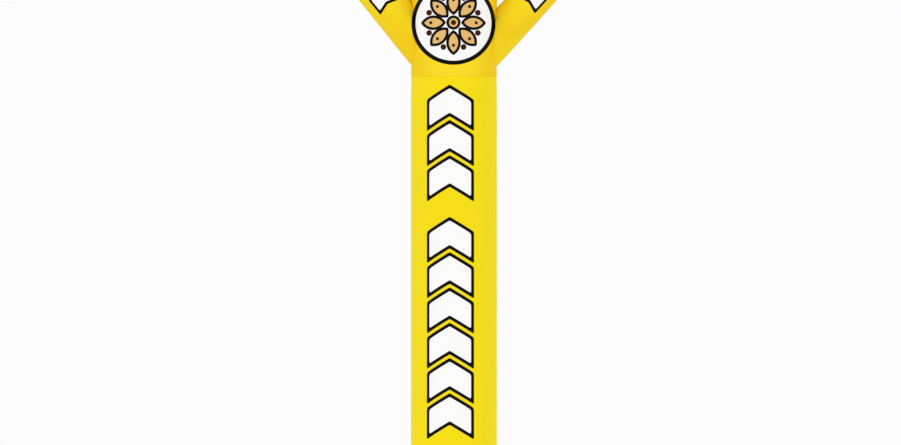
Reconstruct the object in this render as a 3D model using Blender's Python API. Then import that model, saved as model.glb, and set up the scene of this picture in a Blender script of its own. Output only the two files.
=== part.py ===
"""Inflatable air dancer: a tall round tube of coated nylon with two raised arms, blown up and standing.

Metres, +Z up. The origin is the centre of the base hem, the printed front faces -Y and the arms lie in
the XZ plane. Four cut pieces of cloth: the lower tube, the upper tube that laps over it at the chest,
and two tapered arms, each sewn round an armhole. Head and arms are open at their ends for the air.
"""

import math

import bmesh
import bpy
from mathutils import Matrix, Vector

# ---- Whole figure ------------------------------------------------------------------------------------
HEIGHT = 6.0  # base hem to top hem
TUBE_RADIUS = 0.225  # outer face of the blown-up lower tube
CLOTH = 0.002  # one layer of cloth
HEM_CLOTH = 0.003  # an edge turned in and sewn down
HEM_DEPTH = 0.030
SEAM_GAP = 0.0004  # between two pieces that are sewn together

# ---- Seam across the chest ---------------------------------------------------------------------------
WAIST_Z = 4.030  # lower edge of the upper tube
WAIST_LAP = 0.025  # how far the lower tube reaches up inside the upper one
UPPER_RADIUS = 0.2262  # outer face of the upper tube, whose edge stands just proud of the lower tube

# ---- How far sewing draws the blown-up cloth in, and over what length it fills out again --------------
BASE_DRAW = 0.004
TOP_DRAW = 0.008
CUFF_DRAW = 0.005
WAIST_DRAW = 0.002
FILL_OUT = 0.12

# ---- Arms --------------------------------------------------------------------------------------------
ARM_LENGTH = 1.80  # along the middle of the arm, from the side of the trunk to its open end
ARM_ROOT_RADIUS = 0.1055
ARM_TIP_RADIUS = 0.084
ARM_INSIDE = 0.18  # how far an arm starts inside the trunk, before it is trimmed
ARM_HAND = {"left": -1, "right": 1}  # towards -X or +X
ARM_ROOT_Z = {"left": 4.263, "right": 4.244}  # where the middle of the arm meets the side of the trunk
ROOT_LEAN = {"left": 39.1, "right": 42.9}  # degrees from upright, where the arm leaves the trunk
TIP_LEAN = {"left": 43.2, "right": 39.4}  # the same at its open end, so an arm bends slightly

# ---- Facets ------------------------------------------------------------------------------------------
TUBE_SIDES = 48
ARM_SIDES = 32
TUBE_STEP = 0.50  # longest plain stretch between two rings of a tube
ARM_STEP = 0.20
SHARP_EDGE = math.radians(40)

# ---- Finish of each piece of cloth: colour, roughness -------------------------------------------------
FINISHES = {
    "trunk_cloth": ((0.896, 0.701, 0.013), 0.62),
    "chest_cloth": ((0.956, 0.693, 0.030), 0.62),
    "arm_cloth": ((0.896, 0.638, 0.022), 0.62),
}


# ---- Making objects ----------------------------------------------------------------------------------


def clear_scene():
    for item in list(bpy.data.objects):
        bpy.data.objects.remove(item)


def finish(name):
    """The cloth's material, made once for each name."""
    material = bpy.data.materials.get(name)
    if material is None:
        colour, roughness = FINISHES[name]
        material = bpy.data.materials.new(name)
        material.use_nodes = True
        shader = material.node_tree.nodes["Principled BSDF"]
        shader.inputs["Base Color"].default_value = (*colour, 1.0)
        shader.inputs["Roughness"].default_value = roughness
        shader.inputs["Metallic"].default_value = 0.0
    return material


def new_object(name, bm):
    bmesh.ops.recalc_face_normals(bm, faces=bm.faces)
    mesh = bpy.data.meshes.new(name)
    bm.to_mesh(mesh)
    bm.free()
    item = bpy.data.objects.new(name, mesh)
    bpy.context.collection.objects.link(item)
    return item


def as_cloth(item, material, parent):
    item.data.materials.append(finish(material))
    item.data.shade_smooth()
    item.data.set_sharp_from_angle(angle=SHARP_EDGE)
    item.parent = parent
    return item


def as_cutter(item):
    item.hide_render = True
    item.display_type = "WIRE"
    return item


def cut_away(item, cutter, name):
    cut = item.modifiers.new(name, "BOOLEAN")
    cut.operation = "DIFFERENCE"
    cut.object = cutter


# ---- Round forms, as rings joined one to the next ----------------------------------------------------


def drawn_in(distance, draw):
    """How far a sewn edge still pulls the cloth in, this far along from it."""
    return draw * math.exp(-((2 * distance / FILL_OUT) ** 2))


def stations(marks, longest):
    """The marks in order, with the plain stretches between them cut into equal steps."""
    marks = sorted(set(marks))
    places = [marks[0]]
    for low, high in zip(marks, marks[1:]):
        steps = math.ceil((high - low) / longest)
        places += [low + (high - low) * k / steps for k in range(1, steps + 1)]
    return places


def ring(bm, radius, sides, frame):
    """A closed ring of vertices across the local Z of a frame, the first one towards -Y."""
    turn = 2 * math.pi / sides
    corners = [Vector((math.sin(k * turn), -math.cos(k * turn), 0)) * radius for k in range(sides)]
    return [bm.verts.new(frame @ corner) for corner in corners]


def join_rings(bm, first, second):
    for k in range(len(first)):
        after = (k + 1) % len(first)
        bm.faces.new((first[k], first[after], second[after], second[k]))


def cloth_tube(places, outer, wall, sides, frame_at):
    """A tube of cloth, open at both ends, with its outer radius and its thickness at each place."""
    bm = bmesh.new()
    outside = [ring(bm, outer(at), sides, frame_at(at)) for at in places]
    inside = [ring(bm, outer(at) - wall(at), sides, frame_at(at)) for at in places]
    for skin in (outside, inside):
        for low, high in zip(skin, skin[1:]):
            join_rings(bm, low, high)
    join_rings(bm, outside[0], inside[0])
    join_rings(bm, outside[-1], inside[-1])
    return bm


def filled_rod(places, radius, sides, frame_at):
    """The same without a hollow, to cut other pieces with."""
    bm = bmesh.new()
    rings = [ring(bm, radius(at), sides, frame_at(at)) for at in places]
    for low, high in zip(rings, rings[1:]):
        join_rings(bm, low, high)
    bm.faces.new(rings[0])
    bm.faces.new(rings[-1])
    return bm


def upright(z):
    return Matrix.Translation((0, 0, z))


# ---- Lower tube --------------------------------------------------------------------------------------


def lower_radius(z):
    """Drawn in a little at the base hem, and tucked in under the upper tube at the chest seam."""
    tuck = TUBE_RADIUS - (UPPER_RADIUS - WAIST_DRAW - CLOTH - SEAM_GAP)
    return TUBE_RADIUS - drawn_in(z, BASE_DRAW) - drawn_in(max(0, WAIST_Z - z), tuck)


def lower_wall(z):
    return HEM_CLOTH if z <= HEM_DEPTH else CLOTH


def lower_tube(figure):
    marks = [0, HEM_DEPTH, HEM_DEPTH + CLOTH, FILL_OUT / 2, FILL_OUT]
    marks += [WAIST_Z - FILL_OUT, WAIST_Z - FILL_OUT / 2, WAIST_Z - FILL_OUT / 4, WAIST_Z]
    marks += [WAIST_Z + WAIST_LAP]
    bm = cloth_tube(stations(marks, TUBE_STEP), lower_radius, lower_wall, TUBE_SIDES, upright)
    return as_cloth(new_object("lower_tube", bm), "trunk_cloth", figure)


# ---- Upper tube --------------------------------------------------------------------------------------


def upper_radius(z):
    """Drawn in at the chest seam, straight along the lap, and drawn in again at the top hem."""
    above_lap = max(0, z - (WAIST_Z + WAIST_LAP))
    return UPPER_RADIUS - drawn_in(above_lap, WAIST_DRAW) - drawn_in(HEIGHT - z, TOP_DRAW)


def upper_wall(z):
    return HEM_CLOTH if z >= HEIGHT - HEM_DEPTH else CLOTH


def upper_places():
    lap_top = WAIST_Z + WAIST_LAP
    marks = [WAIST_Z, lap_top, lap_top + FILL_OUT / 2, lap_top + FILL_OUT]
    marks += [HEIGHT - FILL_OUT, HEIGHT - FILL_OUT / 2]
    marks += [HEIGHT - HEM_DEPTH - CLOTH, HEIGHT - HEM_DEPTH, HEIGHT]
    return stations(marks, TUBE_STEP)


def upper_tube(figure):
    bm = cloth_tube(upper_places(), upper_radius, upper_wall, TUBE_SIDES, upright)
    return as_cloth(new_object("upper_tube", bm), "chest_cloth", figure)


def upper_tube_core():
    """The upper tube filled in and a seam's gap larger: the arms' roots are trimmed to it."""
    bm = filled_rod(upper_places(), lambda z: upper_radius(z) + SEAM_GAP, TUBE_SIDES, upright)
    return as_cutter(new_object("upper_tube_core", bm))


# ---- Arms: each is modelled along its own +Z, from the side of the trunk, and then leant out ----------


def arm_frame(side, along):
    """The arm's cross-section this far along it, on the arc that takes its lean from root to tip."""
    bend = ARM_HAND[side] * math.radians(TIP_LEAN[side] - ROOT_LEAN[side]) / ARM_LENGTH
    turned = bend * along
    middle = Vector(((1 - math.cos(turned)) / bend, 0, math.sin(turned) / bend))
    return Matrix.Translation(middle) @ Matrix.Rotation(turned, 4, "Y")


def arm_radius(along):
    share = min(1, max(0, along / ARM_LENGTH))
    tapered = ARM_ROOT_RADIUS + (ARM_TIP_RADIUS - ARM_ROOT_RADIUS) * share
    return tapered - drawn_in(ARM_LENGTH - along, CUFF_DRAW)


def arm_wall(along):
    return HEM_CLOTH if along >= ARM_LENGTH - HEM_DEPTH else CLOTH


def lean_out(item, side):
    """Sets an arm's origin on the side of the trunk and leans it out to its own hand."""
    hand = ARM_HAND[side]
    item.location = (hand * UPPER_RADIUS, 0, ARM_ROOT_Z[side])
    item.rotation_euler = (0, hand * math.radians(ROOT_LEAN[side]), 0)
    return item


def arm(side, core, figure):
    """The tapered tube, which starts inside the trunk and is trimmed to its outer face."""
    marks = [-ARM_INSIDE, 2 * ARM_ROOT_RADIUS, ARM_LENGTH - FILL_OUT, ARM_LENGTH - FILL_OUT / 2]
    marks += [ARM_LENGTH - HEM_DEPTH - CLOTH, ARM_LENGTH - HEM_DEPTH, ARM_LENGTH]
    places = stations(marks, ARM_STEP)
    bm = cloth_tube(places, arm_radius, arm_wall, ARM_SIDES, lambda at: arm_frame(side, at))
    item = lean_out(as_cloth(new_object(f"arm_{side}", bm), "arm_cloth", figure), side)
    cut_away(item, core, "trim to trunk")
    return item


def armhole_cutter(side):
    """The inside of the arm's root, which is also the hole in the side of the trunk."""
    places = [-ARM_INSIDE, 0, 2 * ARM_ROOT_RADIUS]
    bm = filled_rod(places, lambda at: arm_radius(at) - CLOTH, ARM_SIDES, lambda at: arm_frame(side, at))
    return lean_out(as_cutter(new_object(f"armhole_{side}", bm)), side)


# ---- The whole figure --------------------------------------------------------------------------------


def build():
    clear_scene()
    figure = bpy.data.objects.new("air_dancer", None)
    bpy.context.collection.objects.link(figure)
    lower_tube(figure)
    trunk = upper_tube(figure)
    core = upper_tube_core()
    for side in ARM_HAND:
        cut_away(trunk, armhole_cutter(side), f"{side} armhole")
        arm(side, core, figure)


build()
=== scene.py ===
"""The finish of an inflatable air dancer: its coated nylon as cut, printed and sewn, and a plain studio.

Metres, +Z up, the printed front towards -Y. Every piece of cloth is a closed thin sheet, worked out in
unrolled places: a turn round the tube, in radians from the front, and a distance along the tube.
"""

import math
from collections import namedtuple
from functools import partial, partialmethod

import bpy
import numpy as np
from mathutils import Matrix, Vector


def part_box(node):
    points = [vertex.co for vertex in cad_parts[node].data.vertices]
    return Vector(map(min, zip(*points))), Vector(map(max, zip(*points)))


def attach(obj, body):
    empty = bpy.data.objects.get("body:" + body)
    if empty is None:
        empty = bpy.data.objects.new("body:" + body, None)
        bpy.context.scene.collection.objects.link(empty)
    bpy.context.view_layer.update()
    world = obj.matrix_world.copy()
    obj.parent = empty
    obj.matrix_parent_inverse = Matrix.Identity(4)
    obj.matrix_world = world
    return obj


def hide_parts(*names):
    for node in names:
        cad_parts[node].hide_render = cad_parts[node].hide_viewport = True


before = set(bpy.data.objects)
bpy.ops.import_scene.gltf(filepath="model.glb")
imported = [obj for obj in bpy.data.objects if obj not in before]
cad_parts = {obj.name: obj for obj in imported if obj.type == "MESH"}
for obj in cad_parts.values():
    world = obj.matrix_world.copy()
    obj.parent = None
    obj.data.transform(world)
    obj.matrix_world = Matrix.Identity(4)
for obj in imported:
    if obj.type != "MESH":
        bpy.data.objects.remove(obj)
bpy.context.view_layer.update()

MM = 0.001
ROUND = 2 * math.pi  # once round a tube

# ---- Sizes of the trunk, from the frame ----
BASE_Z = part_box("lower_tube")[0].z
LAP_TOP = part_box("lower_tube")[1].z
TUBE_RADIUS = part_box("lower_tube")[1].x
WAIST_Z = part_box("upper_tube")[0].z
TOP_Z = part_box("upper_tube")[1].z
UPPER_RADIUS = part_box("upper_tube")[1].x

# ---- How the cloth is cut and drawn in by its sewing ----
CLOTH = 1.0 * MM
HEM_CLOTH = 2.0 * MM
HEM_DEPTH = 30 * MM
LAYER_GAP = 0.4 * MM
BASE_DRAW = 4 * MM
TOP_DRAW = 8 * MM
CUFF_DRAW = 5 * MM
WAIST_DRAW = 2 * MM
WAIST_TUCK = TUBE_RADIUS - (UPPER_RADIUS - WAIST_DRAW - CLOTH - LAYER_GAP)
FILL_OUT = 0.12
HEM_ROWS = (20 * MM, 26 * MM)  # two rows of stitches, from the edge
WAIST_ROWS = (4 * MM, 19 * MM)  # above the lower edge of the upper tube
SEAM_ROWS = (-4.5 * MM, 4.5 * MM)  # either side of the middle of a felled seam
FELLED_WIDTH = 14 * MM
FELLED_RISE = 0.6 * MM
FELLED_SLOPE = 1.2 * MM  # the width of its sloping edge
ROLLED = 0.97  # how much of the way round a rolled edge goes
PUCKER_SLANT = 2.5  # how far puckers may lean as they leave a seam
GROOVE_DEPTH = 0.35 * MM
GROOVE_WIDTH = 1.4 * MM

# ---- Arms ----
ARM_LENGTH = 1.80
ARM_ROOT_RADIUS = 0.1055
ARM_TIP_RADIUS = 0.084
ARM_HAND = {"left": -1, "right": 1}
ARM_ROOT_Z = {"left": 4.263, "right": 4.244}
ROOT_LEAN = {"left": math.radians(39.1), "right": math.radians(42.9)}
TIP_LEAN = {"left": math.radians(43.2), "right": math.radians(39.4)}
ARM_FULLNESS = {"left": 8.0 * MM, "right": 0}  # by the root, on the side towards the head
ARM_FULL_TO = 0.16  # how far along an arm its fullness stays, and over what it fades
ARM_FULL_FADE = 0.14
ARM_REACH_IN = -0.20  # a place along the arm that is well inside the trunk
ARM_REACH_OUT = 0.30  # and one well outside it, at every turn
ROOT_PULL = 1.4 * MM  # how far the seam round an armhole draws the arm in
ROOT_PULL_WIDTH = 11 * MM
ARMHOLE_PULL = 1.6 * MM  # and how far it draws the trunk in
ARMHOLE_PULL_WIDTH = 13 * MM
ARMHOLE_EASE = 0.7 * MM  # between the arm and the cut edge of the armhole
ROOT_ALLOWANCE = 5 * MM  # cloth turned in through the armhole
SEWN_FLAT = 4 * MM  # from the root, before its puckers stand up at their full height
SWELL_FROM = 0.1  # and before the arm swells unevenly

# ---- Stitches ----
STITCH_PITCH = 5.0 * MM
STITCH_LENGTH = 4.1 * MM
STITCH_WIDTH = 0.9 * MM
STITCH_HEIGHT = 0.5 * MM
STITCH_SIDES = 6
STITCH_SHOULDER = 0.27  # from its middle to where it narrows, as a share of its length
STITCH_DIP = 0.25  # how far its ends go into the cloth, as a share of its height
RING_SAMPLES, BACK_SAMPLES = 1200, 1500  # places in a path round a tube, and in one up its back
LOWER_CLEAR, ARM_CLEAR = 4 * MM, 3 * MM  # from the back rows of stitches to the next piece

# ---- Fineness of the cloth ----
TRUNK_COLUMNS = 232
ARM_COLUMNS = 128
LOWER_STEP, UPPER_STEP, ARM_STEP = 0.036, 0.032, 0.017  # between two rows of plain cloth
LEAST_STEP = 0.3 * MM
HEM_FINENESS = ((0, 3, 0.5), (17, 14, 1.3), (40, 9, 3), (70, 21, 7))  # mm: middle, reach and step
ROOT_ROWS = (-2, 0, 1.5, 3, 4.5, 6, 7.5)  # mm from an arm's root, and then even steps
EVEN_FROM, EVEN_STEPS, EVEN_STEP = 9.5 * MM, 22, 5 * MM
SEAM_COLUMNS = (0, 2.5, 4.5, 6.0, 7.0, 8.2)  # mm from the middle of the back seam
ARMHOLE_SPAN = (4.260, 0.185)  # the middle and the reach, up the trunk, of both armholes
NEAR_ARMHOLE = 0.03
ROOT_SAMPLES = 720
HALVINGS, EDGE_MOVES, EVENINGS = 40, 6, 4  # to find a root, to reach an armhole's edge, to even out

# ---- Print ----
TRUNK_MARK = {"Pitch": 0.183, "Width": 0.227, "Depth": 0.126, "Rake": 0.6, "Outline": 0.0168}
TRUNK_RUNS = ((3.967, 3), (3.281, 6))  # the top of each run of marks, and how many are in it
TRUNK_PRINT_ACROSS = -0.0225  # the marks stand a little to one side of the middle
ARM_MARK = {"Pitch": 0.112, "Width": 0.111, "Depth": 0.0726, "Rake": 0.3, "Outline": 0.0148}
ARM_MARKS = 12
TIP_ROUNDING, CORNER_ROUNDING = 0.012, 0.016
ARM_PRINT_START = {"left": 0.185, "right": 0.233}
EMBLEM_MIDDLE = (-0.0028, 4.308)  # across and up
EMBLEM_RADIUS, EMBLEM_RING, EMBLEM_OUTLINE = 0.2191, 0.0212, 0.0142
PETALS, PETAL_MIDDLE, PETAL_HALF_LENGTH, PETAL_HALF_WIDTH = 8, 0.104, 0.057, 0.031
SPOT_MIDDLE, SPOT_RADIUS = 0.137, 0.015  # between one petal and the next
PIP_MIDDLE, PIP_RADIUS = 0.118, 0.0085  # inside each petal
HEART_RADIUS, SEED_RADIUS = 0.030, 0.0135
UNROLLED = "unrolled"

# ---- View ----
VIEW_WIDTH = 4.7146  # at the trunk
VIEW_MIDDLE = (-0.0183, 3.2706)  # across and up
LENS_MM = 200
SENSOR_MM = 36

# ---- Light ----
BACKDROP = 0.973  # how bright the surround shows
AMBIENT = 0.765  # and how much of that lights the object

Waves = namedtuple("Waves", "counts phases weights slants")
Relief = namedtuple("Relief", "waves height fade")
Crease = namedtuple("Crease", "turn along length lean depth width")
Tube = namedtuple("Tube", "name place outer wall girth")
Lamp = namedtuple("Lamp", "name azimuth height spread share")

# Angles in degrees, and the share of full white that each lamp adds on a face turned to it.
LAMPS = [
    Lamp("left key", -50, 35, 40, 0.19),
    Lamp("right fill", 50, 30, 50, 0.145),
    Lamp("back light", 155, 40, 50, 0.12),
]

# Soft creases on the trunk: turn and lean in degrees, the rest in metres but depth and width in mm.
TRUNK_CREASES = [
    (68, 4.085, 0.17, 38, 1.7, 11), (84, 4.06, 0.15, 12, 1.4, 10), (104, 4.065, 0.16, -20, 1.6, 11),
    (121, 4.09, 0.2, -44, 1.3, 13), (-66, 4.09, 0.18, -40, 1.6, 11), (-86, 4.062, 0.14, -8, 1.3, 10),
    (-107, 4.068, 0.17, 24, 1.6, 12), (-124, 4.085, 0.21, 47, 1.2, 13), (76, 4.47, 0.2, -16, 1.3, 12),
    (99, 4.48, 0.24, 14, 1.5, 13), (-78, 4.475, 0.22, 18, 1.4, 12), (-101, 4.465, 0.19, -12, 1.2, 12),
    (142, 3.72, 0.55, 11, 3.9, 24), (-148, 3.35, 0.62, -9, 4.2, 26), (112, 2.85, 0.7, 7, 3.5, 26),
    (35, 2.75, 0.6, 8, 0.7, 24), (-52, 2.3, 0.55, -10, 0.7, 22), (-110, 2.1, 0.6, -8, 3.5, 25),
    (164, 1.75, 0.7, 7, 4.5, 26), (66, 1.55, 0.6, -9, 3.9, 25), (-118, 1.3, 0.5, 12, 4.5, 23),
    (-14, 1.2, 0.55, 9, 3.5, 24), (22, 0.95, 0.45, -14, 4.2, 21), (104, 0.8, 0.5, 11, 4.2, 22),
    (-30, 0.28, 0.32, 15, 5.6, 18), (14, 0.2, 0.24, -12, 4.5, 15), (58, 0.22, 0.28, -18, 6.0, 17),
    (96, 0.3, 0.36, 10, 4.5, 18), (131, 0.26, 0.3, 13, 5.6, 17), (-139, 0.24, 0.26, -16, 6.0, 17),
    (-95, 0.3, 0.34, 9, 4.9, 19), (-66, 0.17, 0.2, -20, 4.2, 14), (-20, 4.98, 0.46, 10, 3.9, 23),
    (58, 5.1, 0.5, -11, 4.2, 24), (144, 4.95, 0.52, 9, 4.2, 24), (12, 5.6, 0.42, 10, 5.2, 20),
    (-64, 5.72, 0.34, -15, 5.6, 18), (88, 5.68, 0.38, 12, 5.6, 19), (40, 5.84, 0.22, -14, 4.5, 14),
    (-22, 5.86, 0.2, 16, 4.2, 13), (170, 5.55, 0.46, -8, 5.2, 21), (126, 5.83, 0.24, 15, 4.5, 14),
    (-146, 5.8, 0.28, -12, 4.9, 15), (-128, 5.3, 0.5, 14, 4.2, 23),
]
ARM_CREASES = {
    "left": [
        (-70, 0.17, 0.2, 26, 1.4, 12), (38, 0.14, 0.18, -20, 1.2, 11), (128, 0.16, 0.24, 18, 1.5, 13),
        (-150, 0.42, 0.36, -14, 3.9, 17), (118, 0.64, 0.34, 12, 3.5, 16), (64, 0.78, 0.42, 15, 3.9, 18),
        (-84, 0.92, 0.38, -10, 3.5, 17), (-32, 1.12, 0.38, -12, 3.5, 17), (150, 1.38, 0.36, 16, 4.2, 16),
        (84, 1.5, 0.26, -12, 3.5, 14), (12, 1.6, 0.24, -13, 4.2, 13), (-104, 1.62, 0.22, 15, 4.2, 13),
        (-168, 1.68, 0.18, -10, 3.5, 11),
    ],
    "right": [
        (74, 0.18, 0.22, -24, 1.4, 12), (-42, 0.13, 0.17, 22, 1.2, 11), (-132, 0.17, 0.23, -16, 1.5, 13),
        (146, 0.46, 0.38, 13, 3.9, 17), (-112, 0.68, 0.36, -11, 3.5, 16), (-58, 0.84, 0.4, -16, 3.9, 18),
        (92, 0.96, 0.4, 10, 3.5, 17), (28, 1.06, 0.36, 14, 3.5, 17), (-155, 1.33, 0.38, -15, 4.2, 16),
        (-76, 1.48, 0.26, 12, 3.5, 14), (-8, 1.58, 0.25, 12, 4.2, 13), (101, 1.63, 0.21, -16, 4.2, 13),
        (164, 1.67, 0.18, 12, 3.5, 11),
    ],
}


# ---- Shapes that sewing and air give the cloth ----

def drawn_in(distance, draw):
    """How far a sewn edge still pulls the cloth in, this far along from it."""
    return draw * np.exp(-((2 * distance / FILL_OUT) ** 2))


def trough(distance, depth, width):
    return -depth * np.exp(-((distance / width) ** 2))


def rolled_edge(distance, wall):
    """How far either face turns in to round off an edge of cloth, this far from it."""
    share = np.clip(1 - distance / (wall / 2), 0, ROLLED)
    return wall / 2 * (1 - np.sqrt(1 - share**2))


def rolled_ends(from_hem, from_cut=np.inf):
    """The same at both ends of a tube: its hem, and an edge that is only cut."""
    return rolled_edge(from_hem, HEM_CLOTH) + rolled_edge(from_cut, CLOTH)


def wall_between(from_hem, from_cut=np.inf):
    """How thick the cloth is, this far from a tube's hem and from its cut edge."""
    return np.where(from_hem <= HEM_DEPTH, HEM_CLOTH, CLOTH) - 2 * rolled_ends(from_hem, from_cut)


def waves_round(fewest, most, number, height, fade=None):
    """Whole numbers of waves round a tube, which add up to uneven puckers or to a slow swell."""
    counts = dice.integers(fewest, most + 1, number)
    phases = dice.uniform(0, ROUND, number)
    weights = dice.uniform(0.5, 1.0, number)
    slants = dice.uniform(-1, 1, number) * counts * PUCKER_SLANT
    return Relief(Waves(counts, phases, weights / weights.sum(), slants), height, fade)


def ripple(turn, distance, waves):
    """Puckers from -1 to 1 at this turn, leaning a little with the distance from the seam."""
    total = 0
    for count, phase, weight, slant in zip(*waves):
        total = total + weight * np.cos(count * turn + phase + slant * distance)
    return total


def puckers(turn, distance, relief):
    """Puckers beside a seam, which fade out with the distance from it."""
    return relief.height * ripple(turn, distance, relief.waves) * np.exp(-np.abs(distance) / relief.fade)


def slow_swell(turn, along, relief):
    """The long soft unevenness of cloth held out by air."""
    total = 0
    for count, phase, weight, slant in zip(*relief.waves):
        total = total + weight * np.cos(count * turn + phase) * np.cos(slant * along + 3 * phase)
    return relief.height * total


def creases(turn, along, girth, rows):
    """All the soft creases of one tube, each a trough that fades out at both its ends."""
    total = np.zeros(np.broadcast(turn, along).shape)
    for row in map(Crease._make, rows):
        swing = np.mod(turn - math.radians(row.turn) + math.pi, ROUND) - math.pi
        across, up = swing * girth, along - row.along
        lean = math.radians(row.lean)
        lengthwise = across * math.sin(lean) + up * math.cos(lean)
        sideways = across * math.cos(lean) - up * math.sin(lean)
        reach = np.clip(np.abs(lengthwise) / (row.length / 2), 0, 1)
        total += trough(sideways, row.depth * MM, row.width * MM) * np.cos(reach * math.pi / 2) ** 2
    return total


def felled_seam(turn, girth):
    """The raised strip of a felled seam down the back, with its two rows of stitches sunk in."""
    from_middle = (math.pi - np.abs(turn)) * girth
    inside = np.clip((FELLED_WIDTH / 2 - from_middle) / FELLED_SLOPE + 0.5, 0, 1)
    rise = FELLED_RISE * inside * inside * (3 - 2 * inside)
    return rise + trough(from_middle - SEAM_ROWS[1], GROOVE_DEPTH, GROOVE_WIDTH)


def stitch_grooves(distance, rows):
    return sum(trough(distance - row, GROOVE_DEPTH, GROOVE_WIDTH) for row in rows)


# ---- Trunk ----

dice = np.random.default_rng(14)
TRUNK_SWELL = waves_round(1, 5, 7, 1.1 * MM)
BASE_PUCKERS = waves_round(26, 58, 9, 3.0 * MM, 0.045)
WAIST_PUCKERS = waves_round(30, 64, 9, 2.6 * MM, 0.040)
TOP_PUCKERS = waves_round(26, 58, 9, 3.2 * MM, 0.045)
BACK_PUCKERS = waves_round(9, 16, 6, 1.3 * MM, 0.022)
BACK_PUCKER_REPEAT = 0.6
ARMHOLE_PUCKERS = {side: waves_round(12, 30, 8, 1.2 * MM, 0.032) for side in ARM_HAND}
ARM_SWELL = {side: waves_round(1, 4, 6, 0.8 * MM) for side in ARM_HAND}
ROOT_PUCKERS = {side: waves_round(12, 28, 8, 2.2 * MM, 0.032) for side in ARM_HAND}
CUFF_PUCKERS = {side: waves_round(12, 27, 8, 2.4 * MM, 0.040) for side in ARM_HAND}


def trunk_place(turn, along, radius):
    return np.stack([radius * np.sin(turn), -radius * np.cos(turn), along + 0 * turn], axis=-1)


def back_puckers(turn, along, girth):
    """Small drag lines on either side of the back seam."""
    from_middle = (math.pi - np.abs(turn)) * girth
    wave = ripple(along * ROUND / BACK_PUCKER_REPEAT, from_middle, BACK_PUCKERS.waves)
    past_seam = np.maximum(0, from_middle - FELLED_WIDTH / 2)
    return BACK_PUCKERS.height * wave * np.exp(-past_seam / BACK_PUCKERS.fade)


def trunk_unevenness(turn, along):
    """What both tubes of the trunk share, so that one lies on the other all round the lap."""
    waist = along - (WAIST_Z + LAP_TOP) / 2
    return (
        slow_swell(turn, along, TRUNK_SWELL)
        + puckers(turn, waist, WAIST_PUCKERS)
        + creases(turn, along, TUBE_RADIUS, TRUNK_CREASES)
        + felled_seam(turn, TUBE_RADIUS)
        + back_puckers(turn, along, TUBE_RADIUS)
    )


def lower_outer(turn, along):
    from_base = along - BASE_Z
    return (
        TUBE_RADIUS
        - drawn_in(from_base, BASE_DRAW)
        - drawn_in(np.maximum(0, WAIST_Z - along), WAIST_TUCK)
        + trunk_unevenness(turn, along)
        + stitch_grooves(from_base, HEM_ROWS)
        + puckers(turn, from_base - HEM_DEPTH, BASE_PUCKERS)
        - rolled_ends(from_base, LAP_TOP - along)
    )


def from_arm(side, points):
    """The distance of these points from the line down the middle of an arm, and their turn round it."""
    hand, lean = ARM_HAND[side], ROOT_LEAN[side]
    x = points[..., 0] - hand * UPPER_RADIUS
    z = points[..., 2] - ARM_ROOT_Z[side]
    across = x * math.cos(lean) - hand * z * math.sin(lean)
    return np.hypot(across, points[..., 1]), np.arctan2(across, -points[..., 1])


def upper_profile(along):
    """The upper tube without its unevenness: drawn in at the chest seam and at the top hem."""
    above_lap = np.maximum(0, along - LAP_TOP)
    return UPPER_RADIUS - drawn_in(above_lap, WAIST_DRAW) - drawn_in(TOP_Z - along, TOP_DRAW)


def armhole_gap(side, turn, along):
    """How far a place on the upper tube lies from the edge of an armhole; less than nothing inside it."""
    middle_of_cloth = trunk_place(turn, along, upper_profile(along) - CLOTH / 2)
    distance, round_arm = from_arm(side, middle_of_cloth)
    own_side = ARM_HAND[side] * np.sin(turn) > 0
    edge = ARM_ROOT_RADIUS + fullness(side, round_arm, 0) - ROOT_PULL + ARMHOLE_EASE
    return np.where(own_side, distance - edge, 1.0), round_arm


def armhole_shape(turn, along):
    """The trunk's cloth is drawn in round each armhole, and puckers there."""
    total = 0
    for side in ARM_HAND:
        gap, round_arm = armhole_gap(side, turn, along)
        total = total + trough(gap, ARMHOLE_PULL, ARMHOLE_PULL_WIDTH)
        total = total + puckers(round_arm, np.maximum(0, gap), ARMHOLE_PUCKERS[side])
    return total


def upper_outer(turn, along):
    from_edge, from_top = along - WAIST_Z, TOP_Z - along
    return (
        upper_profile(along)
        + trunk_unevenness(turn, along)
        + armhole_shape(turn, along)
        + stitch_grooves(from_edge, WAIST_ROWS)
        + stitch_grooves(from_top, HEM_ROWS)
        + puckers(turn, from_top - HEM_DEPTH, TOP_PUCKERS)
        - rolled_ends(from_top, from_edge)
    )


# ---- Arms ----

def fullness(side, turn, along):
    """How far an arm's cloth stands out past its even taper."""
    upward = np.clip(-ARM_HAND[side] * np.sin(turn), 0, 1)
    past = np.maximum(0, along - ARM_FULL_TO) / ARM_FULL_FADE
    return ARM_FULLNESS[side] * upward**2 * np.exp(-(past**2))


def arm_taper(along):
    share = np.clip(along / ARM_LENGTH, 0, 1)
    return ARM_ROOT_RADIUS + (ARM_TIP_RADIUS - ARM_ROOT_RADIUS) * share


def arm_place(side, turn, along, radius):
    """A point of an arm, on the slight arc that takes its lean from root to tip."""
    hand, lean = ARM_HAND[side], ARM_HAND[side] * ROOT_LEAN[side]
    bend = hand * (TIP_LEAN[side] - ROOT_LEAN[side]) / ARM_LENGTH
    turned = bend * along
    out, up = (1 - np.cos(turned)) / bend, np.sin(turned) / bend
    across = radius * np.sin(turn)
    x = hand * UPPER_RADIUS + out * math.cos(lean) + up * math.sin(lean) + across * np.cos(lean + turned)
    z = ARM_ROOT_Z[side] - out * math.sin(lean) + up * math.cos(lean) - across * np.sin(lean + turned)
    return np.stack([x, -radius * np.cos(turn) + 0 * x, z], axis=-1)


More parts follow.
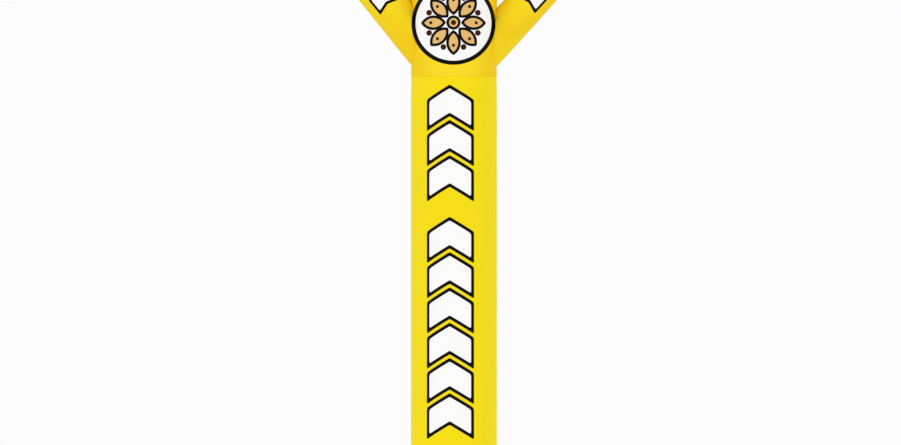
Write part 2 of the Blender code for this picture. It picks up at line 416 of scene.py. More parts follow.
def find_roots(side):
    """Where an arm comes out of the trunk's cloth, at each of many turns, by halving the stretch."""
    turns = np.linspace(-math.pi, math.pi, ROOT_SAMPLES, endpoint=False)
    inside = np.full(ROOT_SAMPLES, ARM_REACH_IN)
    outside = np.full(ROOT_SAMPLES, ARM_REACH_OUT)
    for _ in range(HALVINGS):
        middle = (inside + outside) / 2
        radius = arm_taper(middle) + fullness(side, turns, middle) - ROOT_PULL
        points = arm_place(side, turns, middle, radius)
        trunk_turn = np.arctan2(points[:, 0], -points[:, 1])
        out = np.hypot(points[:, 0], points[:, 1]) > upper_outer(trunk_turn, points[:, 2])
        inside, outside = np.where(out, inside, middle), np.where(out, middle, outside)
    return turns, middle


ARM_ROOTS = {side: find_roots(side) for side in ARM_HAND}


def root_of(side, turn):
    turns, places = ARM_ROOTS[side]
    return np.interp(turn, turns, places, period=ROUND)


def arm_outer(side, turn, along):
    from_root, from_end = along - root_of(side, turn), ARM_LENGTH - along
    shown = np.clip(from_root / SEWN_FLAT, 0, 1)
    return (
        arm_taper(along)
        + fullness(side, turn, along)
        - drawn_in(from_end, CUFF_DRAW)
        + slow_swell(turn, along, ARM_SWELL[side]) * np.clip(from_root / SWELL_FROM, 0, 1)
        + creases(turn, along, ARM_ROOT_RADIUS, ARM_CREASES[side])
        + trough(np.maximum(0, from_root), ROOT_PULL, ROOT_PULL_WIDTH)
        + shown * puckers(turn, from_root, ROOT_PUCKERS[side])
        + puckers(turn, from_end - HEM_DEPTH, CUFF_PUCKERS[side])
        + shown * felled_seam(turn, arm_taper(along))
        + stitch_grooves(from_end, HEM_ROWS)
        - rolled_ends(from_end)
    )


# ---- The tubes: where a place lies, its outer radius, its thickness and its plain radius ----

LOWER = Tube(
    "lower_tube",
    trunk_place,
    lower_outer,
    lambda along: wall_between(along - BASE_Z, LAP_TOP - along),
    lambda along: TUBE_RADIUS + 0 * along,
)
UPPER = Tube(
    "upper_tube",
    trunk_place,
    upper_outer,
    lambda along: wall_between(TOP_Z - along, along - WAIST_Z),
    lambda along: UPPER_RADIUS + 0 * along,
)
ARMS = {
    side: Tube(
        f"arm_{side}",
        partial(arm_place, side),
        partial(arm_outer, side),
        lambda along: wall_between(ARM_LENGTH - along),
        arm_taper,
    )
    for side in ARM_HAND
}


# ---- Laying the cloth out as a mesh ----

def turns_round(number, girth):
    """Turns from the back seam round to it again, closer together over the seam."""
    by_seam = np.array(SEAM_COLUMNS) * MM / girth
    start = by_seam[-1] + (ROUND - 2 * by_seam[-1]) / number
    between = np.linspace(-math.pi + start, math.pi - start, number - 1)
    return np.concatenate([-math.pi + by_seam, between, math.pi - by_seam[:0:-1]])


def places_along(low, high, step, details):
    """Places along a tube, in even steps, but closer together round each detail: middle, reach, step."""
    places = np.linspace(low, high, round((high - low) / step) + 1)
    for middle, reach, fine in details:
        places = places[np.abs(places - middle) > reach]
        places = np.concatenate([places, np.arange(middle - reach, middle + reach + fine / 2, fine)])
    places = np.sort(np.concatenate([places[(places > low) & (places < high)], [low, high]]))
    kept = [places[0]]
    for place in places[1:]:
        if place - kept[-1] > LEAST_STEP:
            kept.append(place)
    kept[-1] = high
    return np.array(kept)


def hem_details(edge, inward):
    """Finer steps over a turned hem: its rolled edge, its stitches and the cloth that fills out past it."""
    return [(edge + inward * middle * MM, reach * MM, fine * MM) for middle, reach, fine in HEM_FINENESS]


def every_cell(turn):
    """The cells between the places of a grid that closes round the tube, all of them kept."""
    return np.ones((turn.shape[0] - 1, turn.shape[1]), bool)


def cell_corners(keep):
    """Corners of the kept cells, and which of them are past the back seam."""
    columns = keep.shape[1]
    row, column = np.nonzero(keep)
    after = (column + 1) % columns
    low, high = row * columns, (row + 1) * columns
    corners = np.stack([low + column, low + after, high + after, high + column], axis=1)
    past = np.zeros(corners.shape, bool)
    past[:, 1] = past[:, 2] = column == columns - 1
    return corners, past


def rim_cells(corners, past, count):
    """Quads that close the sheet from its outer to its inner face along every open edge."""
    both = np.stack([corners, past])
    starts, ends = both.reshape(2, -1), np.roll(both, -1, axis=2).reshape(2, -1)
    open_edge = ~np.isin(starts[0] * count + ends[0], ends[0] * count + starts[0])
    (a, a_past), (b, b_past) = starts[:, open_edge], ends[:, open_edge]
    return np.stack([b, a, a + count, b + count], axis=1), np.stack([b_past, a_past, a_past, b_past], axis=1)


def put(name, data):
    item = bpy.data.objects.new(name, data)
    bpy.context.scene.collection.objects.link(item)
    return item


def new_mesh(name, points, faces, uv, materials, inner_from=None):
    """A smooth mesh of quads or triangles, with its unrolled places for the weave and the print."""
    mesh = bpy.data.meshes.new(name)
    mesh.from_pydata(points.tolist(), [], faces.tolist())
    layer = mesh.uv_layers.new(name=UNROLLED)
    layer.uv.foreach_set("vector", uv.astype(np.float32).ravel())
    for material in materials:
        mesh.materials.append(material)
    if inner_from is not None:
        index = np.zeros(len(faces), np.int32)
        index[inner_from:] = 1
        mesh.polygons.foreach_set("material_index", index)
    mesh.shade_smooth()
    return put(name, mesh)


def lay_cloth(tube, turn, along, keep, materials):
    """One piece of cloth as a closed sheet: its outer face, its rims and its inner face."""
    radius = tube.outer(turn, along)
    outer = tube.place(turn, along, radius).reshape(-1, 3)
    inner = tube.place(turn, along, radius - tube.wall(along)).reshape(-1, 3)
    count = len(outer)
    skin, skin_past = cell_corners(keep)
    rim, rim_past = rim_cells(skin, skin_past, count)
    lining, lining_past = skin[:, ::-1] + count, skin_past[:, ::-1]
    faces = np.concatenate([skin, rim, lining])
    past = np.concatenate([skin_past, rim_past, lining_past])
    around = turn.ravel()[faces % count] + ROUND * past
    lengthwise = along.ravel()[faces % count]
    uv = np.stack([around * tube.girth(lengthwise), lengthwise], axis=-1)
    used, faces = np.unique(faces, return_inverse=True)
    points = np.concatenate([outer, inner])[used]
    item = new_mesh(tube.name + "_cloth", points, faces.reshape(-1, 4), uv, materials, len(skin))
    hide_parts(tube.name)
    return item


def fit_to_armholes(turn, along):
    """Opens the armholes in the upper tube's grid: drops the cells inside and moves the rest to the edge."""
    keep = every_cell(turn)
    next_turn = np.roll(turn, -1, axis=1)
    next_turn[:, -1] += ROUND
    mid_turn = (turn[:-1] + next_turn[:-1]) / 2
    mid_along = (along[:-1] + along[1:]) / 2
    for side in ARM_HAND:
        keep &= armhole_gap(side, mid_turn, mid_along)[0] > 0
    full = np.ones((1, turn.shape[1]), bool)
    either_side = (keep, np.roll(keep, 1, axis=1))
    cells = [np.concatenate(pair) for part in either_side for pair in ([full, part], [part, full])]
    on_edge = np.any(cells, axis=0) & ~np.all(cells, axis=0)
    for side in ARM_HAND:
        near = armhole_gap(side, turn, along)[0] < NEAR_ARMHOLE
        move_to_edge(side, turn, along, on_edge & near)
        relax(turn, along, near & ~on_edge)
    return keep


def move_to_edge(side, turn, along, moved):
    """Moves these places straight to the edge of an armhole."""
    step = 0.1 * MM
    for _ in range(EDGE_MOVES):
        t, a = turn[moved], along[moved]
        gap = armhole_gap(side, t, a)[0]
        by_turn = (armhole_gap(side, t + step / UPPER_RADIUS, a)[0] - gap) / step
        by_along = (armhole_gap(side, t, a + step)[0] - gap) / step
        share = gap / (by_turn**2 + by_along**2)
        turn[moved] = t - share * by_turn / UPPER_RADIUS
        along[moved] = a - share * by_along


def relax(turn, along, moved):
    """Evens out the places round an armhole."""
    for _ in range(EVENINGS):
        for grid in (turn, along):
            mean = (grid[2:, 1:-1] + grid[:-2, 1:-1] + grid[1:-1, 2:] + grid[1:-1, :-2]) / 4
            inner = grid[1:-1, 1:-1]
            inner[moved[1:-1, 1:-1]] = mean[moved[1:-1, 1:-1]]


# ---- Stitches ----

def stitch_form():
    """One stitch as a flat spindle: its points along, across and up, its faces and its own places."""
    points = [(-0.5, 0, -STITCH_DIP)]
    for along in (-STITCH_SHOULDER, STITCH_SHOULDER):
        for k in range(STITCH_SIDES):
            turn = ROUND * k / STITCH_SIDES
            points.append((along, 0.5 * math.cos(turn), 0.5 + 0.5 * math.sin(turn)))
    points.append((0.5, 0, -STITCH_DIP))
    last, faces = len(points) - 1, []
    for k in range(STITCH_SIDES):
        near, after = 1 + k, 1 + (k + 1) % STITCH_SIDES
        far, far_after = near + STITCH_SIDES, after + STITCH_SIDES
        faces += [(0, after, near), (near, after, far_after), (near, far_after, far), (far, far_after, last)]
    return np.array(points), np.array(faces)


def surface(tube, turn, along):
    return tube.place(turn, along, tube.outer(turn, along))


def stitch_row(tube, turn, along):
    """Middles and directions of the stitches along a path on a tube's outer face."""
    path = surface(tube, turn, along)
    run = np.concatenate([[0], np.cumsum(np.linalg.norm(np.diff(path, axis=0), axis=1))])
    number = int(run[-1] / STITCH_PITCH)
    places = (np.arange(number) + 0.5) * run[-1] / number
    turn, along = np.interp(places, run, turn), np.interp(places, run, along)
    middle = surface(tube, turn, along)
    reach = 0.3 * STITCH_PITCH
    ahead, behind = (
        np.stack([np.interp(places + offset, run, axis) for axis in path.T], axis=-1)
        for offset in (reach, -reach)
    )
    small, small_turn = MM, MM / TUBE_RADIUS
    round_it = surface(tube, turn + small_turn, along) - surface(tube, turn - small_turn, along)
    up_it = surface(tube, turn, along + small) - surface(tube, turn, along - small)
    return middle, ahead - behind, np.cross(round_it, up_it)


def unit(vectors):
    return vectors / np.linalg.norm(vectors, axis=-1, keepdims=True)


def sew(tube, paths, material):
    """All the stitches of one piece, as one mesh."""
    form, faces = stitch_form()
    rows = [stitch_row(tube, *path) for path in paths]
    middle, forward, outward = (np.concatenate(parts) for parts in zip(*rows))
    forward, outward = unit(forward), unit(outward)
    sideways = np.cross(outward, forward)
    along, across, up = (form * (STITCH_LENGTH, STITCH_WIDTH, STITCH_HEIGHT)).T[:, None, :, None]
    points = middle[:, None] + along * forward[:, None] + across * sideways[:, None] + up * outward[:, None]
    offsets = np.arange(len(middle))[:, None, None] * len(form)
    all_faces = (faces + offsets).reshape(-1, 3)
    places = form[:, :2] * (STITCH_LENGTH, STITCH_WIDTH)
    uv = np.tile(places[faces].reshape(-1, 2), (len(middle), 1))
    return new_mesh(tube.name + "_thread", points.reshape(-1, 3), all_faces, uv, [material])


def ring_path(along):
    turn = np.linspace(-math.pi, math.pi, RING_SAMPLES)
    return turn, np.full_like(turn, along)


def back_paths(low, high, girth):
    """The two rows down a back seam, one on either side of its middle."""
    along = np.linspace(low, high, BACK_SAMPLES)
    return [(math.pi - row / girth(along), along) for row in SEAM_ROWS]


# ---- Shader effects ----

RIP_RISE, YARN_RISE, FOLD_RISE = 0.07, 0.015, 0.16  # mm


class Net:
    """Short ways to add nodes to one tree and to join them."""

    def __init__(self, tree):
        self.tree = tree

    def feed(self, socket, value):
        """Joins another socket to this one, or sets it to a plain value."""
        if isinstance(value, bpy.types.NodeSocket):
            self.tree.links.new(value, socket)
        else:
            socket.default_value = value

    def feed_all(self, sockets, given):
        for label, value in given.items():
            self.feed(sockets[label], value)

    def node(self, kind, given=None, **settings):
        """A new node with these settings, and with what is given to its inputs; returns its outputs."""
        made = self.tree.nodes.new(kind)
        for key, value in settings.items():
            setattr(made, key, value)
        self.feed_all(made.inputs, given or {})
        return made.outputs

    def maths(self, operation, *values):
        return self.node("ShaderNodeMath", dict(enumerate(values)), operation=operation)["Value"]

    minus = partialmethod(maths, "SUBTRACT")
    times = partialmethod(maths, "MULTIPLY")
    over = partialmethod(maths, "DIVIDE")
    times_add = partialmethod(maths, "MULTIPLY_ADD")

    def most(self, first, *others):
        for other in others:
            first = self.maths("MAXIMUM", first, other)
        return first

    def ramp(self, value, start, end, low=0.0, high=1.0):
        """A smooth step from low at start to high at end."""
        given = {"Value": value, "From Min": start, "From Max": end, "To Min": low, "To Max": high}
        return self.node("ShaderNodeMapRange", given, interpolation_type="SMOOTHSTEP")["Result"]

    def below(self, value, soft=0.4 * MM):
        """1 where a distance is under nothing, 0 past it, with a thin soft edge."""
        return self.ramp(value, -soft, soft, 1.0, 0.0)

    def mix(self, factor, first, second, blend="MIX"):
        given = {0: factor, 6: first, 7: second}
        return self.node("ShaderNodeMix", given, data_type="RGBA", blend_type=blend)[2]

    def noise(self, place, scale, detail=2.0, roughness=0.5, distortion=0.0):
        given = {"Vector": place, "Scale": scale, "Detail": detail, "Roughness": roughness}
        return self.node("ShaderNodeTexNoise", {**given, "Distortion": distortion})["Fac"]

    def parts(self, vector):
        return self.node("ShaderNodeSeparateXYZ", {0: vector})

    def effect(self, group, **given):
        """Places a shared effect here."""
        return self.node("ShaderNodeGroup", given, node_tree=group)


def new_effect(name, takes):
    """A shader node group with named inputs, ready to be filled in."""
    tree = bpy.data.node_groups.new(name, "ShaderNodeTree")
    for label, value in takes.items():
        kind = "NodeSocketVector" if value is None else "NodeSocketFloat"
        socket = tree.interface.new_socket(label, in_out="INPUT", socket_type=kind)
        if value is not None:
            socket.default_value = value
    net = Net(tree)
    return net, net.node("NodeGroupInput")


def finish_effect(net, **gives):
    """Gives an effect its named outputs."""
    for label in gives:
        net.tree.interface.new_socket(label, in_out="OUTPUT", socket_type="NodeSocketFloat")
    net.node("NodeGroupOutput", gives)
    return net.tree


def ripstop_weave():
    """Plain weave with a grid of doubled yarns. Height is in millimetres."""
    takes = {"Unrolled": None, "Rip Spacing": 5 * MM, "Rip Width": 0.7 * MM, "Yarn Spacing": 0.5 * MM}
    net, given = new_effect("Ripstop weave", takes)
    half, lines, yarns = net.over(given["Rip Spacing"], 2.0), [], []
    pace = net.over(ROUND, given["Yarn Spacing"])
    for place in net.parts(given["Unrolled"])[:2]:
        from_line = net.maths("PINGPONG", place, half)
        lines.append(net.ramp(from_line, 0.0, given["Rip Width"], 1.0, 0.0))
        yarns.append(net.maths("SINE", net.times(place, pace)))
    rip = net.most(*lines)
    weave = net.times(*yarns)
    raised = net.times_add(rip, RIP_RISE, net.times(weave, YARN_RISE))
    return finish_effect(net, Height=raised, Rip=rip)


def soft_crinkle():
    """Shallow handling crinkles and a slow change of tone. Height is in millimetres."""
    net, given = new_effect("Soft crinkle", {"Unrolled": None, "Size": 0.16, "Depth": 1.3})
    pace = net.over(1.0, given["Size"])
    broad = net.noise(given["Unrolled"], pace, 2.0, 0.45, 0.6)
    fine = net.noise(given["Unrolled"], net.times(pace, 5.0), 3.0, 0.55, 1.2)
    fold = net.maths("ABSOLUTE", net.times_add(fine, 2.0, -1.0))
    rise = net.times_add(net.minus(1.0, fold), FOLD_RISE, broad)
    tone = net.ramp(broad, 0.3, 0.7)
    return finish_effect(net, Height=net.times(rise, given["Depth"]), Tone=tone)


def handling_wear():
    """Dust low down on the trunk and a faint scuffed bloom elsewhere."""
    takes = {"Place": None, "Unrolled": None, "Dust Height": 0.30}
    net, given = new_effect("Handling wear", takes)
    height = net.parts(given["Place"])[2]
    low = net.ramp(height, given["Dust Height"], 0.0)
    grainy = net.ramp(net.noise(given["Unrolled"], 60.0, 5.0, 0.7), 0.25, 0.75, 0.4, 1.0)
    scuff = net.ramp(net.noise(given["Unrolled"], 70.0, 5.0, 0.7, 0.4), 0.56, 0.74)
    return finish_effect(net, Dust=net.times(low, grainy), Scuff=scuff)


def chevron_print():
    """A run of bold chevrons that point along the tube, each white with a thin dark outline."""
    takes = {"Across": 0.0, "Along": 0.0, "Start": 0.0, "Marks": 6.0, **TRUNK_MARK}
    net, given = new_effect("Chevron print", takes)
    across = net.maths("ABSOLUTE", given["Across"])
    rounded = net.maths("SMOOTH_MAX", across, 0.0, TIP_ROUNDING)
    raked = net.times_add(rounded, given["Rake"], given["Along"])
    run = net.minus(raked, given["Start"])
    half_pitch = net.over(given["Pitch"], 2.0)
    from_middle = net.minus(half_pitch, net.maths("PINGPONG", run, half_pitch))
    half_depth = net.over(given["Depth"], 2.0)
    slope = net.maths("SQRT", net.times_add(given["Rake"], given["Rake"], 1.0))
    past_edge = net.over(net.minus(from_middle, half_depth), slope)
    past_side = net.minus(across, net.over(given["Width"], 2.0))
    distance = net.maths("SMOOTH_MAX", past_side, past_edge, CORNER_ROUNDING)
    end = net.times(given["Marks"], given["Pitch"])
    started = net.maths("GREATER_THAN", run, 0.0)
    going = net.times(started, net.maths("LESS_THAN", run, end))
    white = net.times(net.below(distance), going)
    all_of_it = net.below(net.minus(distance, given["Outline"]))
    outline = net.times(net.minus(all_of_it, white), going)
    return finish_effect(net, White=white, Outline=outline)


def chest_emblem():
    """A plain disc in a dark ring, with an eight-petalled rosette, printed as seen from the front."""
    takes = {"Place": None, "Radius": EMBLEM_RADIUS, "Ring": EMBLEM_RING, "Outline": EMBLEM_OUTLINE}
    net, given = new_effect("Chest emblem", takes)
    x, y, z = net.parts(given["Place"])
    x = net.minus(x, EMBLEM_MIDDLE[0])
    z = net.minus(z, EMBLEM_MIDDLE[1])
    front = net.maths("LESS_THAN", y, 0.0)
    from_middle = length_of(net, x, z)
    half_sector = math.pi / PETALS
    swing = net.maths("PINGPONG", net.maths("ARCTAN2", x, z), half_sector)
    petal = petal_distance(net, from_middle, swing)
    between = net.minus(half_sector, swing)
    spot = spot_distance(net, from_middle, between, SPOT_MIDDLE, SPOT_RADIUS)
    pip = spot_distance(net, from_middle, swing, PIP_MIDDLE, PIP_RADIUS)
    heart = net.minus(from_middle, HEART_RADIUS)
    seed = net.minus(from_middle, SEED_RADIUS)
    half_line = net.over(given["Outline"], 2.0)
    from_line = [net.minus(net.maths("ABSOLUTE", edge), half_line) for edge in (petal, heart)]
    inner = net.minus(given["Radius"], given["Ring"])
    whole = net.below(net.minus(from_middle, given["Radius"]))
    disc = net.below(net.minus(from_middle, inner))
    ring = net.minus(whole, disc)
    tan = net.most(net.below(petal), net.below(heart))
    brown = net.most(net.below(spot), net.below(pip), net.below(seed))
    black = net.most(ring, *map(net.below, from_line))
    masks = {"White": disc, "Tan": tan, "Brown": brown, "Black": black}
    return finish_effect(net, **{label: net.times(mask, front) for label, mask in masks.items()})


def length_of(net, first, second):
    square = net.times_add(first, first, net.times(second, second))
    return net.maths("SQRT", square)


def out_and_sideways(net, from_middle, swing, middle):
    """How far a place lies past a petal's or a spot's own middle: outwards, and to the side."""
    outwards = net.times(from_middle, net.maths("COSINE", swing))
    return net.minus(outwards, middle), net.times(from_middle, net.maths("SINE", swing))


def petal_distance(net, from_middle, swing):
    """The distance past the edge of a pointed petal, the overlap of two circles."""
    offset = (PETAL_HALF_LENGTH**2 - PETAL_HALF_WIDTH**2) / (2 * PETAL_HALF_WIDTH)
    outwards, sideways = out_and_sideways(net, from_middle, swing, PETAL_MIDDLE)
    reach = length_of(net, outwards, net.maths("ADD", sideways, offset))
    return net.minus(reach, offset + PETAL_HALF_WIDTH)


def spot_distance(net, from_middle, swing, middle, radius):
    return net.minus(length_of(net, *out_and_sideways(net, from_middle, swing, middle)), radius)


WEAVE = ripstop_weave()
CRINKLE = soft_crinkle()
WEAR = handling_wear()
CHEVRONS = chevron_print()
EMBLEM = chest_emblem()


# ---- Finishes ----

TRUNK_YELLOW = (0.915, 0.73, 0.006, 1)
CHEST_YELLOW = (0.965, 0.72, 0.02, 1)
# The chest's yellow at its sides, darker as painted shade.
CHEST_SHADED_SIDE_YELLOW = (0.92, 0.615, 0.005, 1)
ARM_YELLOW = (0.93, 0.685, 0.012, 1)
ARM_DEEP_YELLOW = (0.915, 0.61, 0.008, 1)
PRINT_WHITE = (0.955, 0.95, 0.95, 1)
PRINT_BLACK = (0.002, 0.0015, 0.0015, 1)
EMBLEM_INKS = {
    "White": PRINT_WHITE,
    "Tan": (0.783, 0.491, 0.165, 1),
    "Brown": (0.045, 0.01, 0.004, 1),
    "Black": PRINT_BLACK,
}
DUST = (0.48, 0.35, 0.2, 1)
INSIDE_YELLOWS = (0.8, 0.59, 0.04, 1), (0.85, 0.64, 0.06, 1)
THREAD_YELLOWS = (0.8, 0.56, 0.015, 1), (0.62, 0.4, 0.01, 1)
FLOOR_GREY = (0.952, 0.952, 0.949, 1)
BLACK, WHITE = (0, 0, 0, 1), (1, 1, 1, 1)

NYLON_SHEEN, NYLON_RELIEF, DARKEST_TONE = 0.07, 0.8, 0.985
RIP_SHOWS, SCUFF_SHOWS, DUST_SHOWS = 0.05, 0.012, 0.20  # in the cloth's colour
RIP_ROUGHENS, SCUFF_ROUGHENS, DUST_ROUGHENS = 0.06, 0.08, 0.25
PLY_PITCH, PLY_SLANT = 0.9 * MM, 1.2  # of the twisted thread


def new_material(name, roughness, specular):
    """A new material, its net and the inputs of its shader."""
    material = bpy.data.materials.new(name)
    material.use_nodes = True
    net = Net(material.node_tree)
    shader = material.node_tree.nodes["Principled BSDF"].inputs
    net.feed_all(shader, {"Roughness": roughness, "Specular IOR Level": specular})
    return material, net, shader


def bump(net, height, strength):
    return net.node("ShaderNodeBump", {"Strength": strength, "Distance": MM, "Height": height})["Normal"]


def nylon(name, paint, roughness=0.58, glow=0.0):
    """Coated ripstop nylon. paint(net, unrolled, place) gives its colour before weave and wear.

    glow is painted light: an emission that stands in for the light which comes through the cloth and shows
    on its far face.
    """
    material, net, shader = new_material(name, roughness, NYLON_SHEEN)
    shader["Emission Strength"].default_value = glow
    unrolled = net.node("ShaderNodeUVMap", uv_map=UNROLLED)["UV"]
    place = net.node("ShaderNodeTexCoord")["Object"]
    weave = net.effect(WEAVE, Unrolled=unrolled)
    crinkle = net.effect(CRINKLE, Unrolled=unrolled)
    wear = net.effect(WEAR, Place=place, Unrolled=unrolled)
    colour = paint(net, unrolled, place)
    colour = net.mix(net.times(weave["Rip"], RIP_SHOWS), colour, BLACK)
    tone = net.ramp(crinkle["Tone"], 0.0, 1.0, DARKEST_TONE, 1.0)
    colour = net.mix(1.0, colour, tone, "MULTIPLY")
    colour = net.mix(net.times(wear["Scuff"], SCUFF_SHOWS), colour, WHITE)
    colour = net.mix(net.times(wear["Dust"], DUST_SHOWS), colour, DUST)
    net.feed(shader["Base Color"], colour)
    # Painted light: the cloth glows in its own colour.
    if glow:
        net.feed(shader["Emission Color"], colour)
    rough = net.times_add(wear["Dust"], DUST_ROUGHENS, roughness)
    rough = net.times_add(wear["Scuff"], SCUFF_ROUGHENS, rough)
    net.feed(shader["Roughness"], net.times_add(weave["Rip"], RIP_ROUGHENS, rough))
    height = net.maths("ADD", weave["Height"], crinkle["Height"])
    net.feed(shader["Normal"], bump(net, height, NYLON_RELIEF))
    return material


def add_chevrons(net, colour, mark, **run):
    masks = net.effect(CHEVRONS, **run, **mark)
    colour = net.mix(masks["White"], colour, PRINT_WHITE)
    return net.mix(masks["Outline"], colour, PRINT_BLACK)


def add_emblem(net, colour, place):
    masks = net.effect(EMBLEM, Place=place)
    for label, ink in EMBLEM_INKS.items():
        colour = net.mix(masks[label], colour, ink)
    return colour


def paint_trunk(net, unrolled, place):
    """Flat yellow, with two runs of chevrons up the front."""
    across, along, _ = net.parts(unrolled)
    across = net.minus(across, TRUNK_PRINT_ACROSS)
    colour = TRUNK_YELLOW
    for top, marks in TRUNK_RUNS:
        start = top - TRUNK_MARK["Depth"] / 2 - (marks - 0.5) * TRUNK_MARK["Pitch"]
        run = {"Across": across, "Along": along, "Start": start, "Marks": marks}
        colour = add_chevrons(net, colour, TRUNK_MARK, **run)
    return colour


def paint_chest(net, unrolled, place):
    """A warmer yellow with painted shade that deepens it towards the sides, as seen from the front, with the
    emblem on the chest.
    """
    across = net.maths("ABSOLUTE", net.parts(place)[0])
    # Painted shade: the yellow deepens with the distance from the middle, as seen from the front.
    fade = net.ramp(net.over(across, UPPER_RADIUS), 0.25, 1.0)
    return add_emblem(net, net.mix(fade, CHEST_YELLOW, CHEST_SHADED_SIDE_YELLOW), place)


def paint_arm(net, unrolled, place):
    """Yellow with slow deeper patches, chevrons out along the arm, and the sides of the emblem."""
    patches = net.ramp(net.noise(place, 5.0, 1.0), 0.35, 0.7, 0.0, 0.8)
    colour = net.mix(patches, ARM_YELLOW, ARM_DEEP_YELLOW)
    across, along, _ = net.parts(unrolled)
    later = ARM_PRINT_START["right"] - ARM_PRINT_START["left"]
    on_right = net.maths("GREATER_THAN", net.parts(place)[0], 0.0)
    start = net.times_add(on_right, later, ARM_PRINT_START["left"])
    run = {"Across": across, "Along": along, "Start": start, "Marks": ARM_MARKS}
    return add_emblem(net, add_chevrons(net, colour, ARM_MARK, **run), place)


def paint_inside(net, unrolled, place):
    """The uncoated back of the cloth, where the print hardly shows."""
    cloudy = net.ramp(net.noise(unrolled, 9.0, 2.0), 0.3, 0.7)
    return net.mix(cloudy, *INSIDE_YELLOWS)


def thread():
    """Bonded polyester thread, twisted."""
    material, net, shader = new_material("Sewing thread", 0.5, 0.35)
    unrolled = net.node("ShaderNodeUVMap", uv_map=UNROLLED)["UV"]
    along, across, _ = net.parts(unrolled)
    slanted = net.times_add(across, PLY_SLANT, along)
    ply = net.maths("SINE", net.times(slanted, ROUND / PLY_PITCH))
    shade = net.ramp(ply, -1.0, 1.0, 0.0, 0.35)
    net.feed(shader["Base Color"], net.mix(shade, *THREAD_YELLOWS))
    net.feed(shader["Normal"], bump(net, net.times(ply, 0.06), 0.7))
    return material


def floor_finish():
    material, net, shader = new_material("Studio floor", 0.85, 0.1)
    place = net.node("ShaderNodeTexCoord")["Object"]
    grain = net.ramp(net.noise(place, 35.0, 3.0), 0.3, 0.7, 0.985, 1.0)
    net.feed(shader["Base Color"], net.mix(1.0, FLOOR_GREY, grain, "MULTIPLY"))
    return material


# ---- Pieces ----

def make_piece(tube, turn, along, keep, paths, finishes, slot):
    """Lays out one piece of cloth, sews it along its paths and attaches both to the root body."""
    item = lay_cloth(tube, turn, along, keep, [finishes[slot], finishes["inside"]])
    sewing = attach(sew(tube, paths, finishes["thread"]), "root")
    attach(item, "root")
    return item


def make_lower_tube(finishes):
    # Closer rows where the cloth is tucked in under the seam, and at its cut edge.
    details = hem_details(BASE_Z, 1) + [
        (WAIST_Z - 0.085, 0.035, 12 * MM),
        (WAIST_Z - 0.030, 0.022, 5 * MM),
        (WAIST_Z, 8 * MM, 2 * MM),
        (LAP_TOP, 1.5 * MM, 0.5 * MM),
    ]
    rows = places_along(BASE_Z, LAP_TOP, LOWER_STEP, details)
    turn, along = np.meshgrid(turns_round(TRUNK_COLUMNS, TUBE_RADIUS), rows)
    paths = [ring_path(BASE_Z + row) for row in HEM_ROWS]
    paths += back_paths(BASE_Z + HEM_DEPTH, WAIST_Z - LOWER_CLEAR, LOWER.girth)
    return make_piece(LOWER, turn, along, every_cell(turn), paths, finishes, "trunk_cloth")


def make_upper_tube(finishes):
    # Closer rows by the armholes, over the lap, and at the cut edge.
    details = hem_details(TOP_Z, -1) + [
        (*ARMHOLE_SPAN, 5.5 * MM),
        (LAP_TOP + 0.012, 0.012, 4 * MM),
        (WAIST_Z + 0.0125, 0.0125, 1.4 * MM),
        (WAIST_Z, 1.5 * MM, 0.4 * MM),
    ]
    rows = places_along(WAIST_Z, TOP_Z, UPPER_STEP, details)
    turn, along = np.meshgrid(turns_round(TRUNK_COLUMNS, UPPER_RADIUS), rows)
    keep = fit_to_armholes(turn, along)
    paths = [ring_path(WAIST_Z + row) for row in WAIST_ROWS]
    paths += [ring_path(TOP_Z - row) for row in HEM_ROWS]
    paths += back_paths(WAIST_Z + WAIST_ROWS[1], TOP_Z - HEM_DEPTH, UPPER.girth)
    return make_piece(UPPER, turn, along, keep, paths, finishes, "chest_cloth")


def make_arm(side, finishes):
    tube, turns = ARMS[side], turns_round(ARM_COLUMNS, ARM_ROOT_RADIUS)
    root = root_of(side, turns)
    farthest = root.max()
    even_rows = EVEN_FROM + np.arange(EVEN_STEPS) * EVEN_STEP
    by_root = np.concatenate([[-ROOT_ALLOWANCE], np.array(ROOT_ROWS) * MM, even_rows])
    rest = places_along(farthest + by_root[-1], ARM_LENGTH, ARM_STEP, hem_details(ARM_LENGTH, -1))
    # The rows start slanted, as the root is, and lie square to the arm from a third of the way on.
    share = (rest - rest[0]) / (rest[-1] - rest[0])
    slack = (farthest - root) * np.clip(1 - 3 * share, 0, 1)[:, None] ** 2
    along = np.concatenate([root + by_root[:, None], rest[1:, None] - slack[1:]])
    turn = np.broadcast_to(turns, along.shape)
    paths = [ring_path(ARM_LENGTH - row) for row in HEM_ROWS]
    paths += back_paths(root_of(side, math.pi) + ARM_CLEAR, ARM_LENGTH - HEM_DEPTH, tube.girth)
    make_piece(tube, turn, along, every_cell(turn), paths, finishes, "arm_cloth")


# ---- Studio ----

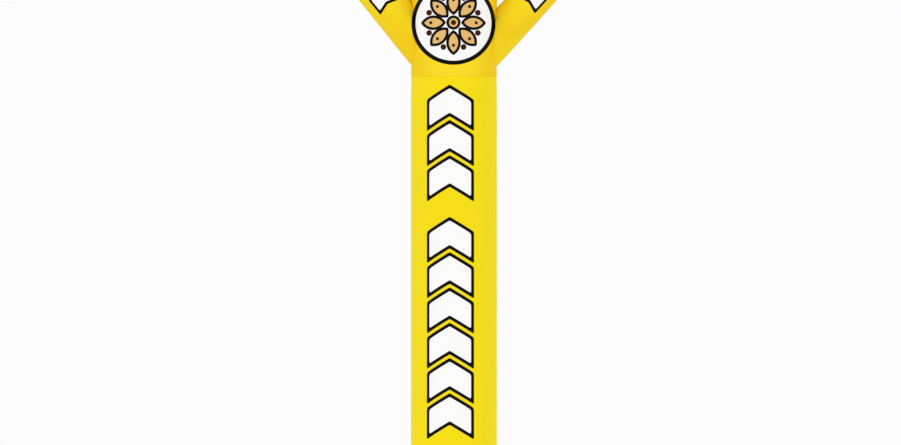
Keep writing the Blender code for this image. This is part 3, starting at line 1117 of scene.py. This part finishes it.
def make_floor():
    radius, sides = 40.0, 96
    turns = [ROUND * k / sides for k in range(sides)]
    mesh = bpy.data.meshes.new("studio_floor")
    points = [(radius * math.cos(turn), radius * math.sin(turn), BASE_Z) for turn in turns]
    mesh.from_pydata(points, [], [tuple(range(sides))])
    mesh.materials.append(floor_finish())
    floor = put("studio_floor", mesh)


def surround():
    """A pale backdrop, which lights the object a little less brightly than it shows."""
    world = bpy.data.worlds.new("pale surround")
    world.use_nodes = True
    net = Net(world.node_tree)
    shown = net.node("ShaderNodeLightPath")["Is Camera Ray"]
    strength = net.ramp(shown, 0.0, 1.0, AMBIENT, BACKDROP)
    net.feed_all(world.node_tree.nodes["Background"].inputs, {"Color": WHITE, "Strength": strength})
    bpy.context.scene.world = world


def add_lamp(lamp):
    """A broad soft light from far away: azimuth 0 comes from the front, and 90 from +X."""
    light = bpy.data.lights.new(lamp.name, "SUN")
    light.energy = math.pi * lamp.share
    light.angle = math.radians(lamp.spread)
    item = put(lamp.name, light)
    item.rotation_euler = (math.radians(90 - lamp.height), 0, math.radians(lamp.azimuth))


def set_camera():
    lens = bpy.data.cameras.new("view")
    lens.lens = LENS_MM
    lens.sensor_width = SENSOR_MM
    lens.clip_end = 400
    item = put("view", lens)
    distance = VIEW_WIDTH * LENS_MM / SENSOR_MM
    item.location = (VIEW_MIDDLE[0], -distance, VIEW_MIDDLE[1])
    item.rotation_euler = (math.pi / 2, 0, 0)
    bpy.context.scene.camera = item
    bpy.context.scene.view_settings.view_transform = "Standard"


def build():
    finishes = {
        "trunk_cloth": nylon("Trunk nylon", paint_trunk),
        "chest_cloth": nylon("Chest nylon", paint_chest),
        "arm_cloth": nylon("Arm nylon", paint_arm),
        # The inner face has a painted glow.
        "inside": nylon("Inner face of the nylon", paint_inside, 0.7, 0.16),
        "thread": thread(),
    }
    set_camera()
    lower = make_lower_tube(finishes)
    upper = make_upper_tube(finishes)
    for side in ARM_HAND:
        make_arm(side, finishes)
    make_floor()
    surround()
    for lamp in LAMPS:
        add_lamp(lamp)


build()
